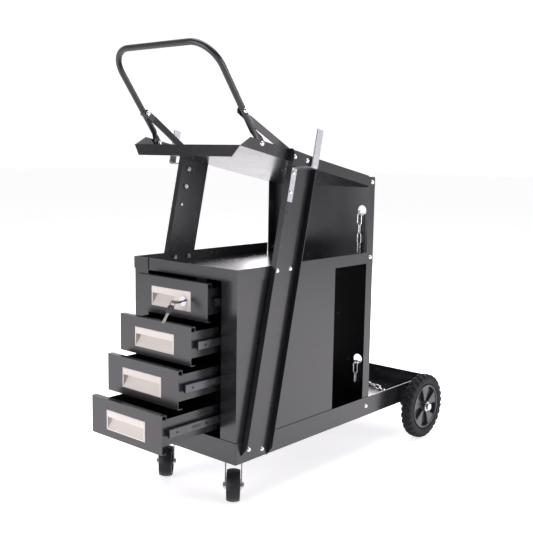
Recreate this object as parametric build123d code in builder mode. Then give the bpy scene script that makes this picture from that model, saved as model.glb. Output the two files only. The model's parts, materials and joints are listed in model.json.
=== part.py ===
from build123d import *
from math import atan2, ceil, cos, hypot, pi, radians, sin, sqrt, tan
import os

# Welding cart: a sheet-steel cart with four drawers under a middle tray, an inclined top tray for the
# machine, and an open platform for a gas cylinder behind a full-height back panel.
# X runs from the drawers to the cylinder platform, Y across the cart, Z up. The floor is Z = 0.
# The right-hand side of the cart is -Y, seen by someone who faces the drawers.

# ---- sheet metal and fits
sheet = 1.5
post_sheet = 2.0
seat_gap = 0.2
sheet_bend_radius = 2.0

# ---- base tray
cart_length = 816.0
cart_width = 338.0
base_underside = 101.5
base_wall_height = 49.5

# ---- cabinet and its drawers
cabinet_depth = 350.0
middle_tray_underside = 507.0
stile_width = 49.0
upright_return = 30.0
drawer_count = 4
drawer_openings = [38.0, 87.6, 124.3, 169.8]
drawer_travel = 250.0
drawer_front_height = 85.0
drawer_reveal = 2.6
drawer_side_reveal = 4.0
drawer_box_depth = 325.0
drawer_box_height = 57.5
drawer_box_lift = 15.0
drawer_hem_depth = 13.0
drawer_hem_drop = 12.0

# ---- drawer slides
slide_width = 12.7
slide_sheet = 1.2
slide_channel_height = 20.0
slide_channel_depth = 9.2
slide_mouth = 12.8
slide_neck = 12.0
slide_rise = 27.5
slide_channel_setback = 8.0
slide_channel_length = 320.0
slide_rail_setback = 20.0
slide_rail_length = 300.0
slide_gap = 0.3
slide_lever_setback = 84.0
slide_lever_length = 28.0
slide_lever_width = 8.0
slide_lever_depth = 2.0
slide_hole_radius = 2.3
slide_hole_count = 6

# ---- drawer pulls
pull_width = 128.0
pull_height = 45.0
pull_drop = 23.0
pull_bezel = 1.6
pull_body_margin = 3.0
pull_recess_depth = 15.0
pull_band = 15.5
pull_frame = 4.0
locked_recess_width = 72.0

# ---- lock and keys
lock_offset = 43.0
lock_barrel_radius = 9.5
lock_flange_radius = 11.5
lock_flange_thickness = 2.0
lock_plug_radius = 7.0
lock_barrel_length = 22.0
lock_running_gap = 0.05
lock_cam_reach = 43.0
lock_cam_width = 12.0
lock_cam_thickness = 2.0
lock_cam_gap = 0.3
lock_catch_width = 34.0
lock_catch_drop = 11.0
lock_catch_depth = 14.0
key_blade_width = 6.5
key_blade_thickness = 1.8
key_blade_length = 20.0
key_seat_depth = 15.0
key_neck = 4.0
key_head_length = 20.0
key_head_width = 18.0
key_head_thickness = 3.2
key_slot_length = 8.0
key_slot_width = 4.0
key_end_wall = 2.5
key_ring_radius = 7.0
key_ring_wire = 0.7
spare_key_lean = 36.5

# ---- middle tray
middle_tray_wall = 28.0
tray_corner_slit = 6.0
lug_inset = 0.2

# ---- back panel
panel_distance = 510.5
panel_flange = 28.0
panel_top = 727.0
panel_bolt_setback = 10.0
panel_bolt_inset = 9.5
chain_hole_radius = 13.0
chain_hole_inset = 38.0
upper_chain_height = 640.0
lower_chain_height = 246.0

# ---- top tray
tray_tilt = 11.0
top_tray_setback = 3.0
top_tray_front_height = 798.0
top_tray_wall = 25.0
top_tray_ramp = 30.0
top_tray_lip = 24.0
top_tray_lip_mitre = 20.0

# ---- posts
post_lean = 12.5
post_width = 88.0
post_depth = 15.0
post_foot_setback = 63.0
post_foot_height = 124.0
post_below_bolts = 14.0
post_length = 691.0
post_bolt_spacing = 46.0
post_mid_bolt_height = 522.3
post_foot_clip = 18.0
post_head_clip = 6.0

# ---- fasteners
bolt_radius = 3.0
bolt_hole_radius = 3.3
bolt_head_radius = 5.8
bolt_head_height = 3.6
nut_radius = 5.8
nut_height = 5.0
thread_gap = 0.1
bolt_end = 2.5

# ---- handle and braces
handle_tube_radius = 7.0
handle_wall = 1.5
handle_inset = 9.0
handle_lean = 36.2
handle_setback = 74.0
handle_bolt_rise = 18.5
handle_length = 252.0
handle_bend_radius = 62.0
handle_flat_thickness = 3.0
handle_flat_width = 20.0
handle_flat_below = 9.0
handle_flat_above = 12.0
handle_taper = 20.0
brace_bolt_reach = 84.0
brace_width = 16.0
brace_thickness = 3.0
brace_end = 9.0
brace_straight = 26.0

# ---- cable hooks
hook_width = 20.0
hook_thickness = 3.0
hook_depth = 58.0
hook_top = 638.0
hook_leg = 78.0
hook_rise = 86.0
hook_bend_radius = 5.0
hook_bolt_drops = [12.0, 56.0]
spare_hole_drop = 102.0

# ---- rear axle and wheels
rear_wheel_radius = 89.0
axle_distance = 720.5
axle_radius = 6.0
axle_bracket_inset = 23.0
axle_bracket_length = 60.0
axle_bracket_sheet = 3.0
axle_fit = 0.05
tyre_width = 32.0
tyre_shoulder = 8.0
wheel_gap = 22.0
rim_radius = 60.5
rim_width = 26.0
rim_thickness = 4.0
hub_radius = 17.0
hub_length = 32.0
spoke_count = 5
spoke_width = 22.0
spoke_thickness = 8.0
spoke_turn = 14.0
spacer_radius = 9.0
washer_radius = 12.0
washer_thickness = 2.0
wheel_side_gap = 0.3
axle_cap_radius = 9.0
axle_cap_length = 7.0
axle_cap_wall = 1.5

# ---- swivel casters
caster_wheel_radius = 37.5
caster_wheel_width = 30.0
caster_setback = 56.0
caster_inset = 57.0
caster_trail = 30.0
caster_heading = -138.9
caster_plate_length = 76.0
caster_plate_width = 62.0
caster_plate_thickness = 2.5
caster_bolt_spacing_x = 58.0
caster_bolt_spacing_y = 44.0
caster_race_radius = 20.0
caster_race_height = 8.0
caster_running_gap = 0.3
caster_kingpin_radius = 5.0
caster_kingpin_head = 8.5
caster_kingpin_head_height = 3.0
caster_pin_fit = 0.05
caster_fork_sheet = 2.5
caster_fork_inside = 34.0
caster_leg_width = 30.0
caster_axle_radius = 4.0
caster_axle_head = 6.5
caster_axle_head_height = 4.0
caster_hub_radius = 14.0
caster_groove = 3.0
caster_tread_radius = 28.0

# ---- chains
chain_wire = 3.0
chain_pitch = 26.0
chain_link_width = 13.0
chain_slack = 0.5
chain_hole_gap = 0.3
chain_hang_inset = 0.3
upper_chain_links = 15
lower_loop_links = 9
upper_tail_links = 4
lower_tail_links = 2
tail_first_turn = 25.0
tail_twist = 80.0

# ---- places worked out from the sizes above
half_width = cart_width / 2
inner_half_width = half_width - sheet
most_open = max(drawer_openings) + pull_bezel - sheet - seat_gap
front_x = -(cart_length - most_open) / 2
rear_x = front_x + cart_length
base_floor = base_underside + sheet
base_top = base_underside + base_wall_height
cabinet_x = front_x + sheet + seat_gap
cabinet_rear_x = cabinet_x + cabinet_depth
cabinet_half_width = inner_half_width - seat_gap
opening_half_width = half_width - stile_width
middle_floor = middle_tray_underside + sheet
middle_top = middle_tray_underside + middle_tray_wall
panel_x = front_x + panel_distance
panel_rear_x = panel_x + sheet
flange_x = panel_rear_x - panel_flange
lug_y = inner_half_width - sheet - lug_inset
panel_bolt_x = panel_x - panel_bolt_setback
tray_x = front_x + top_tray_setback
tilt = radians(tray_tilt)
lean = radians(post_lean)
axle_x = front_x + axle_distance
caster_half_track = half_width - caster_inset
axle_bracket_half_width = half_width - axle_bracket_inset
chain_hole_offset = half_width - chain_hole_inset
handle_half_width = inner_half_width - handle_inset


def box_between(low, high, mode=Mode.ADD):
    """A rectangular block from one corner to the opposite one."""
    size = [high[i] - low[i] for i in range(3)]
    middle = [(high[i] + low[i]) / 2 for i in range(3)]
    with Locations(tuple(middle)):
        Box(size[0], size[1], size[2], mode=mode)


def mirrored_box(low, high, mode=Mode.ADD):
    """The same block on both sides of the cart, at -Y and at +Y."""
    box_between(low, high, mode)
    box_between((low[0], -high[1], low[2]), (high[0], -low[1], high[2]), mode)


def drill_across(points, radius):
    """Round holes through both side walls; points are (x, z)."""
    with BuildSketch(Plane.XZ) as holes:
        with Locations(*points):
            Circle(radius)
    extrude(holes.sketch, amount=cart_width, both=True, mode=Mode.SUBTRACT)


def outward_plane(point, outward):
    """A plane through point whose own Y axis is the outward direction."""
    across = Plane(origin=point, z_dir=outward).x_dir
    return Plane(origin=point, x_dir=across, z_dir=across.cross(Vector(*outward)))


def add_bolt(point, outward, grip):
    """A domed bolt whose head sits at point, and its nut, on the far side of the gripped sheets."""
    plane = outward_plane(point, outward)
    axis = Axis(point, outward)
    reach = grip + nut_height + bolt_end
    with BuildSketch(plane) as bolt_half:
        with BuildLine():
            Line((0, -reach), (0, bolt_head_height))
            ThreePointArc(
                (0, bolt_head_height),
                (bolt_head_radius * 0.72, bolt_head_height * 0.72),
                (bolt_head_radius, 0),
            )
            Polyline((bolt_head_radius, 0), (bolt_radius, 0), (bolt_radius, -reach), (0, -reach))
        make_face()
    revolve(bolt_half.sketch, axis=axis)
    nut_face = Plane(origin=Vector(*point) - Vector(*outward) * (grip + nut_height), z_dir=outward)
    with BuildSketch(nut_face) as nut:
        RegularPolygon(nut_radius, 6)
        Circle(bolt_radius + thread_gap, mode=Mode.SUBTRACT)
    extrude(nut.sketch, amount=nut_height)


def along_tray(distance, height=0.0):
    """The (x, z) of a place on the inclined tray: distance down the slope, height square to it."""
    x = tray_x + distance * cos(tilt) + height * sin(tilt)
    z = top_tray_front_height - distance * sin(tilt) + height * cos(tilt)
    return x, z


def tray_distance(x, height=0.0):
    """The distance down the tray's slope that a place at x has."""
    return (x - tray_x - height * sin(tilt)) / cos(tilt)


def along_post(across, up):
    """The (x, z) of a place on a post: across its web to the rear, and up it from the foot bolts."""
    x = front_x + post_foot_setback + across * cos(lean) + up * sin(lean)
    z = post_foot_height - across * sin(lean) + up * cos(lean)
    return x, z


def post_x_at(height):
    """The x of the post's centre line at a height."""
    return front_x + post_foot_setback + (height - post_foot_height) * tan(lean)


def finish(piece, name):
    """Label a piece and write it to its own file."""
    piece.part.label = name
    export_step(piece.part, f"parts/{name}.step")


# ---- bolt places
half_spacing = post_bolt_spacing / 2
post_foot_bolts = [along_post(-half_spacing, 0), along_post(half_spacing, 0)]
mid_bolt_x = post_x_at(post_mid_bolt_height)
post_mid_bolts = [
    (mid_bolt_x - half_spacing, post_mid_bolt_height),
    (mid_bolt_x + half_spacing, post_mid_bolt_height),
]
top_bolt_rise = top_tray_wall / 2
tray_rise = top_tray_front_height + tray_x * tan(tilt) - post_foot_height
post_top_x = (front_x + post_foot_setback + tray_rise * tan(lean)) / (1 + tan(tilt) * tan(lean))
post_top_centre = tray_distance(post_top_x)
post_top_bolts = [
    along_tray(post_top_centre - half_spacing, top_bolt_rise),
    along_tray(post_top_centre + half_spacing, top_bolt_rise),
]
panel_bolts = [
    (panel_bolt_x, base_floor + 24.0),
    (panel_bolt_x, middle_tray_underside + middle_tray_wall / 2 + 1.0),
    along_tray(tray_distance(panel_bolt_x, top_bolt_rise), top_bolt_rise),
]
handle_low_distance = tray_distance(front_x + handle_setback, handle_bolt_rise)
handle_foot = along_tray(handle_low_distance, handle_bolt_rise)
handle_pitch = radians(handle_lean)
handle_up = (-sin(handle_pitch), cos(handle_pitch))
handle_upper_bolt = (
    handle_foot[0] + brace_bolt_reach * handle_up[0],
    handle_foot[1] + brace_bolt_reach * handle_up[1],
)
hook_across = -half_spacing
hook_bolts = [along_post(hook_across, hook_top - drop) for drop in hook_bolt_drops]
spare_hole = along_post(hook_across, hook_top - spare_hole_drop)

os.makedirs("parts", exist_ok=True)

# ---- base tray: one long folded tray, open at the top
with BuildPart() as base_tray:
    with BuildSketch(Plane.XY.offset(base_underside)):
        with Locations(((front_x + rear_x) / 2, 0)):
            RectangleRounded(cart_length, cart_width, sheet_bend_radius)
    extrude(amount=base_wall_height)
    with BuildSketch(Plane.XY.offset(base_floor)):
        with Locations(((front_x + rear_x) / 2, 0)):
            RectangleRounded(cart_length - 2 * sheet, cart_width - 2 * sheet, sheet_bend_radius - sheet)
    extrude(amount=base_wall_height, mode=Mode.SUBTRACT)
    drill_across(post_foot_bolts + panel_bolts[:1], bolt_hole_radius)
    with BuildSketch(Plane.XY.offset(base_underside)):
        caster_x = front_x + caster_setback
        with Locations((caster_x, -caster_half_track), (caster_x, caster_half_track)):
            with GridLocations(caster_bolt_spacing_x, caster_bolt_spacing_y, 2, 2):
                Circle(bolt_hole_radius)
    extrude(amount=sheet, mode=Mode.SUBTRACT)
finish(base_tray, "base_tray")

# ---- cabinet sides: each one a folded sheet with a front stile and two inner returns
with BuildPart() as cabinet_side_right:
    low = base_floor
    high = middle_tray_underside
    outer = -cabinet_half_width
    inner = -opening_half_width
    box_between((cabinet_x, outer, low), (cabinet_rear_x, outer + sheet, high))
    box_between((cabinet_x, outer, low), (cabinet_x + sheet, inner, high))
    box_between((cabinet_x, inner - sheet, low), (cabinet_x + upright_return, inner, high))
    box_between((cabinet_rear_x - sheet, outer, low), (cabinet_rear_x, inner, high))
    box_between((cabinet_rear_x - upright_return, inner - sheet, low), (cabinet_rear_x, inner, high))
    drill_across(post_foot_bolts, bolt_hole_radius)
finish(cabinet_side_right, "cabinet_side_right")

with BuildPart() as cabinet_side_left:
    mirror(cabinet_side_right.part, about=Plane.XZ)
finish(cabinet_side_left, "cabinet_side_left")

with BuildPart() as cabinet_back:
    box_between(
        (cabinet_rear_x, -cabinet_half_width + sheet, base_floor),
        (cabinet_rear_x + sheet, cabinet_half_width - sheet, middle_tray_underside),
    )
finish(cabinet_back, "cabinet_back")

# ---- middle tray: floor over the cabinet and the bay, walls turned up at the front and the sides
with BuildPart() as middle_tray:
    wall_end = flange_x - sheet
    box_between((front_x, -half_width, middle_tray_underside), (wall_end, half_width, middle_floor))
    box_between((wall_end, -lug_y, middle_tray_underside), (panel_x - seat_gap, lug_y, middle_floor))
    box_between((front_x, -half_width, middle_floor), (front_x + sheet, half_width, middle_top))
    mirrored_box((front_x, inner_half_width, middle_floor), (wall_end, half_width, middle_top))
    mirrored_box(
        (flange_x, lug_y - sheet, middle_floor), (panel_x - seat_gap, lug_y, middle_top - sheet)
    )
    slit_y = opening_half_width - tray_corner_slit
    box_between(
        (front_x, slit_y, middle_floor), (front_x + sheet, opening_half_width, middle_top), Mode.SUBTRACT
    )
    drill_across(post_mid_bolts + panel_bolts[1:2], bolt_hole_radius)
finish(middle_tray, "middle_tray")

# ---- back panel: full height, flanges folded forward inside the base tray's walls
with BuildPart() as back_panel:
    box_between((panel_x, -inner_half_width, base_floor), (panel_rear_x, inner_half_width, panel_top))
    mirrored_box((flange_x, inner_half_width - sheet, base_floor), (panel_x, inner_half_width, panel_top))
    drill_across(panel_bolts, bolt_hole_radius)
    with BuildSketch(Plane.YZ.offset(panel_x)):
        for height in (upper_chain_height, lower_chain_height):
            with Locations((-chain_hole_offset, height), (chain_hole_offset, height)):
                Circle(chain_hole_radius)
    extrude(amount=sheet, mode=Mode.SUBTRACT)
finish(back_panel, "back_panel")

# ---- top tray: inclined, side walls up with ramped ends, front lip folded down
tray_plane = Plane(
    origin=(tray_x, 0, top_tray_front_height), x_dir=(cos(tilt), 0, -sin(tilt)), z_dir=(sin(tilt), 0, cos(tilt))
)
with BuildPart() as top_tray:
    floor_end = tray_distance(panel_x - seat_gap, sheet)
    wall_foot_end = tray_distance(flange_x - sheet)
    wall_head_end = tray_distance(flange_x - sheet, top_tray_wall)
    lug_start = tray_distance(flange_x)
    with BuildSketch(tray_plane):
        with Locations((wall_foot_end / 2, 0)):
            Rectangle(wall_foot_end, cart_width)
        with Locations(((wall_foot_end + floor_end) / 2, 0)):
            Rectangle(floor_end - wall_foot_end, 2 * lug_y)
    extrude(amount=sheet)
    side_plane = Plane(origin=tray_plane.origin, x_dir=tray_plane.x_dir, z_dir=(0, -1, 0))
    with BuildSketch(side_plane.offset(inner_half_width), side_plane.offset(-half_width)):
        Polygon(
            (0, 0), (wall_foot_end, 0), (wall_head_end, top_tray_wall), (top_tray_ramp, top_tray_wall),
            align=None,
        )
    extrude(amount=sheet)
    with BuildSketch(side_plane.offset(lug_y - sheet), side_plane.offset(-lug_y)):
        Polygon(
            (lug_start, 0), (floor_end, 0), (floor_end - sheet - top_tray_wall * tan(tilt), top_tray_wall - sheet),
            (lug_start, top_tray_wall - sheet), align=None,
        )
    extrude(amount=sheet)
    lip_plane = Plane(origin=tray_plane.origin, x_dir=(0, 1, 0), z_dir=tray_plane.x_dir)
    with BuildSketch(lip_plane):
        Polygon(
            (-half_width, sheet), (half_width, sheet), (half_width - top_tray_lip_mitre, -top_tray_lip),
            (-half_width + top_tray_lip_mitre, -top_tray_lip), align=None,
        )
    extrude(amount=sheet)
    drill_across(post_top_bolts + panel_bolts[2:] + [handle_foot], bolt_hole_radius)
finish(top_tray, "top_tray")

# ---- posts: channels with the web on the tray walls and the flanges outward
post_plane = Plane(
    origin=(front_x + post_foot_setback, -half_width, post_foot_height),
    x_dir=(cos(lean), 0, -sin(lean)),
    z_dir=(0, -1, 0),
)
with BuildPart() as post_right:
    post_head = post_length - post_below_bolts
    with BuildSketch(post_plane):
        with Locations((0, (post_head - post_below_bolts) / 2)):
            Rectangle(post_width, post_length)
    extrude(amount=post_sheet)
    flange_side = Plane(origin=post_plane.origin, x_dir=(0, -1, 0), z_dir=-post_plane.x_dir)
    with BuildSketch(flange_side.offset(post_width / 2 - post_sheet), flange_side.offset(-post_width / 2)):
        Polygon(
            (0, -post_below_bolts), (post_sheet, -post_below_bolts),
            (post_depth, -post_below_bolts + post_foot_clip),
            (post_depth, post_head - post_head_clip), (post_depth - post_head_clip, post_head),
            (0, post_head), align=None,
        )
    extrude(amount=post_sheet)
    post_holes = post_foot_bolts + post_mid_bolts + post_top_bolts + hook_bolts + [spare_hole]
    drill_across(post_holes, bolt_hole_radius)
finish(post_right, "post_right")

with BuildPart() as post_left:
    mirror(post_right.part, about=Plane.XZ)
finish(post_left, "post_left")

# ---- handle: a bent tube whose ends are pressed flat and bolted inside the top tray's walls
handle_plane = Plane(
    origin=(handle_foot[0], 0, handle_foot[1]), x_dir=(0, 1, 0), z_dir=(handle_up[1], 0, -handle_up[0])
)
tube_start = handle_flat_above + handle_taper
flat_y = inner_half_width - seat_gap / 2 - handle_flat_thickness / 2
with BuildPart() as handle:
    with BuildLine(handle_plane) as handle_path:
        FilletPolyline(
            (-handle_half_width, tube_start), (-handle_half_width, handle_length),
            (handle_half_width, handle_length), (handle_half_width, tube_start),
            radius=handle_bend_radius,
        )
    across_leg = Plane(
        origin=handle_plane.from_local_coords((-handle_half_width, tube_start, 0)),
        x_dir=(0, 1, 0), z_dir=handle_plane.y_dir,
    )
    with BuildSketch(across_leg) as tube_ring:
        Circle(handle_tube_radius)
        Circle(handle_tube_radius - handle_wall, mode=Mode.SUBTRACT)
    sweep(tube_ring.sketch, path=handle_path.wires()[0])
    for side in (-1, 1):
        top_origin = handle_plane.from_local_coords((side * handle_half_width, tube_start, 0))
        low_origin = handle_plane.from_local_coords((side * flat_y, handle_flat_above, 0))
        with BuildSketch(Plane(origin=top_origin, x_dir=(0, 1, 0), z_dir=handle_plane.y_dir)) as round_end:
            Circle(handle_tube_radius)
        with BuildSketch(Plane(origin=low_origin, x_dir=(0, 1, 0), z_dir=handle_plane.y_dir)) as flat_end:
            RectangleRounded(handle_flat_thickness, handle_flat_width, handle_flat_thickness * 0.49)
        loft(Sketch([flat_end.sketch.face(), round_end.sketch.face()]).faces())
        extrude(flat_end.sketch, amount=-(handle_flat_above + handle_flat_below))
    drill_across([handle_foot, handle_upper_bolt], bolt_hole_radius)
finish(handle, "handle")

# ---- braces: flat bars from the handle's upper bolts to the posts' top bolts
brace_low = post_top_bolts[0]
brace_run = hypot(brace_low[0] - handle_upper_bolt[0], brace_low[1] - handle_upper_bolt[1])
brace_fall = atan2(handle_upper_bolt[1] - brace_low[1], brace_low[0] - handle_upper_bolt[0])
brace_x_dir = (cos(brace_fall), 0, -sin(brace_fall))
brace_y_high = handle_half_width - handle_tube_radius - seat_gap - brace_thickness / 2
brace_y_low = inner_half_width - seat_gap / 2 - brace_thickness / 2
with BuildPart() as handle_brace_right:
    brace_plane = Plane(
        origin=(handle_upper_bolt[0], 0, handle_upper_bolt[1]),
        x_dir=brace_x_dir, z_dir=(sin(brace_fall), 0, cos(brace_fall)),
    )
    with BuildSketch(brace_plane):
        half = brace_thickness / 2
        Polygon(
            (-brace_end, -brace_y_high - half), (brace_straight, -brace_y_high - half),
            (brace_run - brace_straight, -brace_y_low - half), (brace_run + brace_end, -brace_y_low - half),
            (brace_run + brace_end, -brace_y_low + half), (brace_run - brace_straight, -brace_y_low + half),
            (brace_straight, -brace_y_high + half), (-brace_end, -brace_y_high + half), align=None,
        )
    extrude(amount=brace_width / 2, both=True)
    brace_ends = handle_brace_right.edges().filter_by(Axis.Y)
    fillet(brace_ends, radius=brace_width / 2 - 1.0)
    drill_across([handle_upper_bolt, brace_low], bolt_hole_radius)
finish(handle_brace_right, "handle_brace_right")

with BuildPart() as handle_brace_left:
    mirror(handle_brace_right.part, about=Plane.XZ)
finish(handle_brace_left, "handle_brace_left")

# ---- cable hooks: strap bent outward and up, bolted to the posts' webs
with BuildPart() as cable_hook_right:
    hook_x, hook_z = along_post(hook_across, 0)
    hook_plane = Plane(
        origin=(hook_x, -half_width - post_sheet - hook_thickness / 2, hook_z),
        x_dir=(0, -1, 0), z_dir=-post_plane.x_dir,
    )
    with BuildSketch(hook_plane):
        with BuildLine() as strap:
            FilletPolyline(
                (0, hook_top - hook_leg), (0, hook_top), (hook_depth, hook_top),
                (hook_depth, hook_top + hook_rise), radius=hook_bend_radius,
            )
        trace(strap.edges(), line_width=hook_thickness)
    extrude(amount=hook_width / 2, both=True)
    drill_across(hook_bolts, bolt_hole_radius)
finish(cable_hook_right, "cable_hook_right")

with BuildPart() as cable_hook_left:
    mirror(cable_hook_right.part, about=Plane.XZ)
finish(cable_hook_left, "cable_hook_left")

# ---- fastener groups
inner_brace_face = brace_y_low - brace_thickness / 2
post_face = half_width + post_sheet
foot_grip = post_face - (cabinet_half_width - sheet)
wall_grip = post_sheet + sheet
with BuildPart() as post_bolts:
    for side in (-1, 1):
        outward = (0, side, 0)
        for x, z in post_foot_bolts:
            add_bolt((x, side * post_face, z), outward, foot_grip)
        for x, z in post_mid_bolts + post_top_bolts[1:]:
            add_bolt((x, side * post_face, z), outward, wall_grip)
        x, z = post_top_bolts[0]
        add_bolt((x, side * post_face, z), outward, post_face - inner_brace_face)
finish(post_bolts, "post_bolts")

with BuildPart() as panel_bolt_set:
    for side in (-1, 1):
        outward = (0, side, 0)
        x, z = panel_bolts[0]
        add_bolt((x, side * half_width, z), outward, 2 * sheet)
        for x, z in panel_bolts[1:]:
            add_bolt((x, side * inner_half_width, z), outward, inner_half_width - (lug_y - sheet))
finish(panel_bolt_set, "panel_bolts")

with BuildPart() as handle_bolts:
    tube_side = handle_half_width + handle_tube_radius
    for side in (-1, 1):
        outward = (0, side, 0)
        x, z = handle_foot
        add_bolt((x, side * half_width, z), outward, half_width - flat_y + handle_flat_thickness / 2)
        x, z = handle_upper_bolt
        upper_grip = tube_side - (brace_y_high - brace_thickness / 2)
        add_bolt((x, side * tube_side, z), outward, upper_grip)
finish(handle_bolts, "handle_bolts")

with BuildPart() as hook_bolt_set:
    for side in (-1, 1):
        for x, z in hook_bolts:
            head_y = side * (post_face + hook_thickness)
            add_bolt((x, head_y, z), (0, side, 0), hook_thickness + post_sheet)
finish(hook_bolt_set, "hook_bolts")

# ---- drawers
drawer_pitch = drawer_front_height + drawer_reveal
first_drawer_top = middle_tray_underside - drawer_side_reveal
drawer_half_width = opening_half_width - drawer_side_reveal
box_half_width = opening_half_width - slide_width
drawer_tops = [first_drawer_top - n * drawer_pitch for n in range(drawer_count)]
slide_heights = [top - drawer_front_height + drawer_box_lift + slide_rise for top in drawer_tops]
pull_body_half_width = pull_width / 2 - pull_body_margin
pull_body_half_height = pull_height / 2 - pull_body_margin
pull_centres = [top - pull_drop - pull_height / 2 for top in drawer_tops]


def drawer_face_x(n):
    """The x of a drawer's front face where the drawer stands."""
    return cabinet_x - drawer_openings[n]


def make_drawer(n):
    """A drawer: its front with folded edges, and the box welded behind it."""
    face = drawer_face_x(n)
    top = drawer_tops[n]
    bottom = top - drawer_front_height
    floor = bottom + drawer_box_lift
    rim = floor + drawer_box_height
    back = face + drawer_box_depth
    hem_x = face + drawer_hem_depth
    with BuildPart() as drawer:
        box_between((face, -drawer_half_width, bottom), (face + sheet, drawer_half_width, top))
        box_between((face, -drawer_half_width, top - sheet), (hem_x, drawer_half_width, top))
        box_between(
            (hem_x - sheet, -drawer_half_width, top - drawer_hem_drop), (hem_x, drawer_half_width, top)
        )
        box_between((face, -drawer_half_width, bottom), (hem_x, drawer_half_width, bottom + sheet))
        box_between((face, -box_half_width, floor), (back, box_half_width, floor + sheet))
        mirrored_box((face, box_half_width - sheet, floor), (back, box_half_width, rim))
        box_between((back - sheet, -box_half_width, floor), (back, box_half_width, rim))
        cut_y = pull_body_half_width + seat_gap
        cut_z = pull_body_half_height + seat_gap
        box_between(
            (face, -cut_y, pull_centres[n] - cut_z), (face + sheet, cut_y, pull_centres[n] + cut_z),
            Mode.SUBTRACT,
        )
    return drawer


def make_pull(n, recess_left, recess_right):
    """A plastic pull: bezel, body and a wedge recess with a finger hold behind its upper band."""
    face = drawer_face_x(n)
    centre = pull_centres[n]
    low = centre - pull_height / 2 + pull_frame
    edge = centre + pull_height / 2 - pull_band
    hold = pull_body_half_height + centre - 3.0
    with BuildPart() as pull:
        box_between(
            (face - pull_bezel, -pull_width / 2, centre - pull_height / 2),
            (face, pull_width / 2, centre + pull_height / 2),
        )
        bezel_rim = pull.faces().sort_by(Axis.X)[0].edges()
        fillet(bezel_rim, radius=pull_bezel * 0.6)
        box_between(
            (face, -pull_body_half_width, centre - pull_body_half_height),
            (face + pull_recess_depth + 1.5, pull_body_half_width, centre + pull_body_half_height),
        )
        with BuildSketch(Plane.XZ.offset(-recess_right)):
            Polygon(
                (face - pull_bezel, low), (face - pull_bezel, edge), (face + 2.0, edge), (face + 2.0, hold),
                (face + pull_recess_depth, hold), (face + pull_recess_depth, edge - 2.0), align=None,
            )
        extrude(amount=recess_right - recess_left, mode=Mode.SUBTRACT)
        if n == 0:
            with BuildSketch(Plane.YZ.offset(face - pull_bezel)):
                with Locations((-lock_offset, centre)):
                    Circle(lock_barrel_radius + lock_running_gap)
            extrude(amount=pull_recess_depth + pull_bezel + 1.5, mode=Mode.SUBTRACT)
    return pull


def make_slide_rails(n):
    """The two inner slide members on a drawer's sides, with a pocket each for the release lever."""
    height = slide_heights[n]
    start = drawer_face_x(n) + slide_rail_setback
    end = start + slide_rail_length
    race_outer = opening_half_width - slide_sheet - slide_gap
    race_inner = opening_half_width - slide_channel_depth + slide_sheet + slide_gap
    race_half = slide_channel_height / 2 - slide_sheet - slide_gap
    lever_x = drawer_face_x(n) + slide_lever_setback
    with BuildPart() as rails:
        mirrored_box((start, race_inner, height - race_half), (end, race_outer, height + race_half))
        mirrored_box(
            (start, box_half_width, height - slide_neck / 2), (end, race_inner, height + slide_neck / 2)
        )
        mirrored_box(
            (lever_x, race_outer - slide_lever_depth, height - slide_lever_width / 2),
            (lever_x + slide_lever_length, race_outer, height + slide_lever_width / 2),
            Mode.SUBTRACT,
        )
        spacing = slide_rail_length / (slide_hole_count + 1)
        with BuildSketch(Plane.XZ) as holes:
            for i in range(slide_hole_count):
                hole_x = start + (i + 0.5) * spacing
                if not lever_x - spacing / 4 < hole_x < lever_x + slide_lever_length + spacing / 4:
                    with Locations((hole_x, height)):
                        Circle(slide_hole_radius)
        extrude(holes.sketch, amount=cart_width, both=True, mode=Mode.SUBTRACT)
    return rails


def make_slide_levers(n):
    """The two plastic release levers in the pockets of a drawer's rails."""
    height = slide_heights[n]
    race_outer = opening_half_width - slide_sheet - slide_gap
    start = drawer_face_x(n) + slide_lever_setback + seat_gap
    half = slide_lever_width / 2 - seat_gap
    with BuildPart() as levers:
        mirrored_box(
            (start, race_outer - slide_lever_depth, height - half),
            (start + slide_lever_length - 2 * seat_gap, race_outer, height + half),
        )
    return levers


for n in range(drawer_count):
    number = n + 1
    finish(make_drawer(n), f"drawer_{number}")
    recess_left = -pull_width / 2 + pull_frame
    if n == 0:
        recess_left = pull_width / 2 - pull_frame - locked_recess_width
    finish(make_pull(n, recess_left, pull_width / 2 - pull_frame), f"drawer_pull_{number}")
    finish(make_slide_rails(n), f"slide_rails_{number}")
    finish(make_slide_levers(n), f"slide_levers_{number}")

# ---- outer slide members, fixed to the cabinet's front and rear returns
with BuildPart() as slide_channels:
    channel_start = cabinet_x + slide_channel_setback
    channel_end = channel_start + slide_channel_length
    channel_y = opening_half_width - slide_channel_depth
    half_height = slide_channel_height / 2
    for height in slide_heights:
        mirrored_box(
            (channel_start, channel_y, height - half_height),
            (channel_end, opening_half_width, height + half_height),
        )
        mirrored_box(
            (channel_start, channel_y + slide_sheet, height - half_height + slide_sheet),
            (channel_end, opening_half_width - slide_sheet, height + half_height - slide_sheet),
            Mode.SUBTRACT,
        )
        mirrored_box(
            (channel_start, channel_y, height - slide_mouth / 2),
            (channel_end, channel_y + slide_sheet, height + slide_mouth / 2),
            Mode.SUBTRACT,
        )
finish(slide_channels, "slide_channels")

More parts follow.
